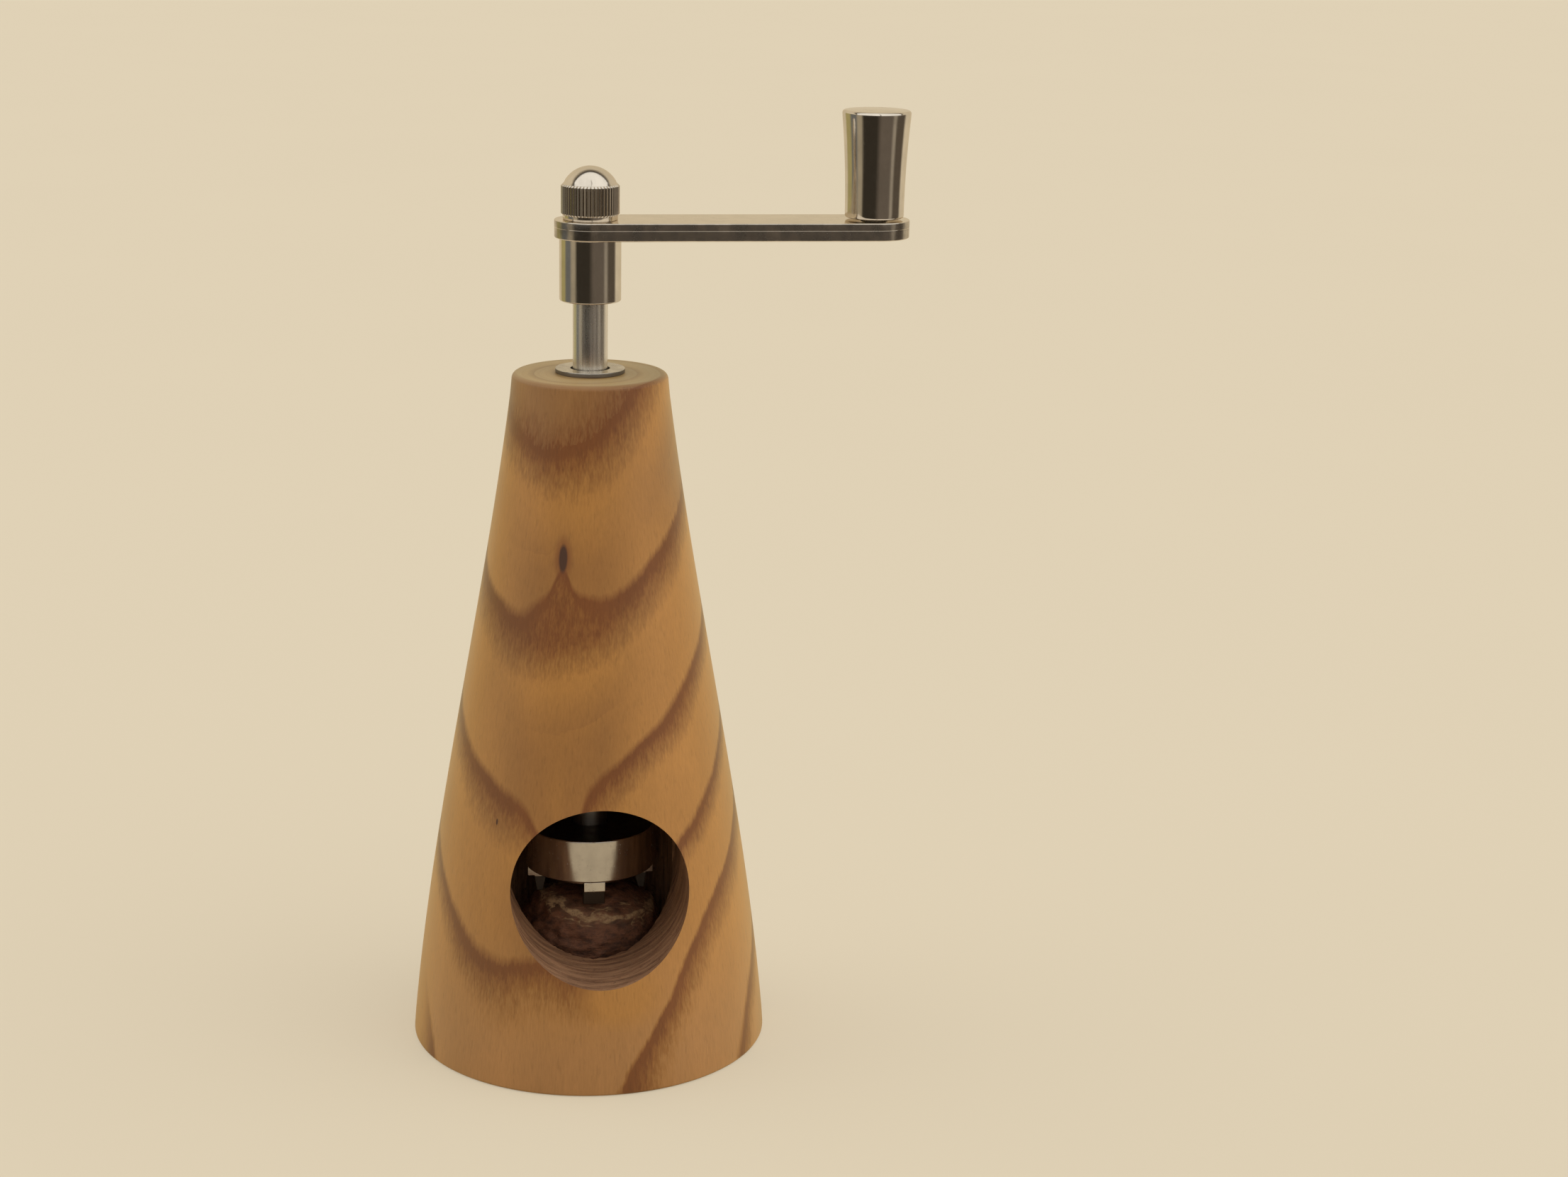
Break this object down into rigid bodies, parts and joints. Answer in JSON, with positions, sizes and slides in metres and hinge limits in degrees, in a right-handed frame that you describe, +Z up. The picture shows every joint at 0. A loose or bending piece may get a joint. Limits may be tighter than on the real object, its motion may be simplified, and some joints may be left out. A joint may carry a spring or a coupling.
{
  "type": "nutmeg grater",
  "caption": "Hand cranked nutmeg grater: turned wooden cone with a round loading window, sprung spindle with claws, grating plate in the base, and a crank with a turning knob.",
  "frame": {"origin": "on the surface that the grater stands on, under the centre of the whole outline with the crank arm at rest", "axes": "+Z up, +X along the crank arm at rest, the loading window faces -Y"},
  "size_m": [0.087, 0.0636, 0.1663],
  "materials": {
    "wood": "oiled hardwood, end grain in the window",
    "brushed_steel": "fine brushed",
    "polished_steel": "polished nickel plate with fine marks",
    "spring_steel": "drawn wire, lightly oiled",
    "nutmeg_skin": "matte wrinkled seed"
  },
  "bodies": {
    "root": {"wood_body": "wood", "top_washer": "brushed_steel", "upper_spring_washer": "brushed_steel", "coil_spring": "spring_steel", "grater_plate": "brushed_steel", "plate_screw_1": "brushed_steel", "plate_screw_2": "brushed_steel", "plate_screw_3": "brushed_steel"},
    "spring_seat": {"thrust_washer": "brushed_steel"},
    "spindle": {"retaining_clip": "spring_steel", "shaft": "brushed_steel", "carrier": "polished_steel", "claw_plate": "polished_steel", "claw_screw": "brushed_steel", "crank_boss": "polished_steel", "crank_arm": "polished_steel", "cap_nut": "polished_steel", "knob_pin": "brushed_steel", "knob_snap_ring": "spring_steel"},
    "knob": {"knob": "polished_steel"},
    "nutmeg": {"nutmeg": "nutmeg_skin"}
  },
  "joints": [
    {"name": "spindle_lift", "type": "slide", "parent": "root", "child": "spring_seat", "axis": [0, 0, 1], "range_m": [0, 0.018], "stiffness_N_per_m": 300, "springref_m": -0.018, "deforming": ["coil_spring"]},
    {"name": "crank_turn", "type": "hinge", "parent": "spring_seat", "child": "spindle", "pos_m": [-0.01167, 0, 0.0723], "axis": [0, 0, 1], "continuous": true},
    {"name": "knob_spin", "type": "hinge", "parent": "spindle", "child": "knob", "pos_m": [0.03732, 0, 0.1479], "axis": [0, 0, 1], "continuous": true},
    {"name": "nutmeg_turn", "type": "hinge", "parent": "root", "child": "nutmeg", "pos_m": [-0.01167, 0, 0.0153], "axis": [0, 0, 1], "continuous": true}
  ],
  "couplings": [
    {"joint": "nutmeg_turn", "follows": "crank_turn", "ratio": 1}
  ]
}
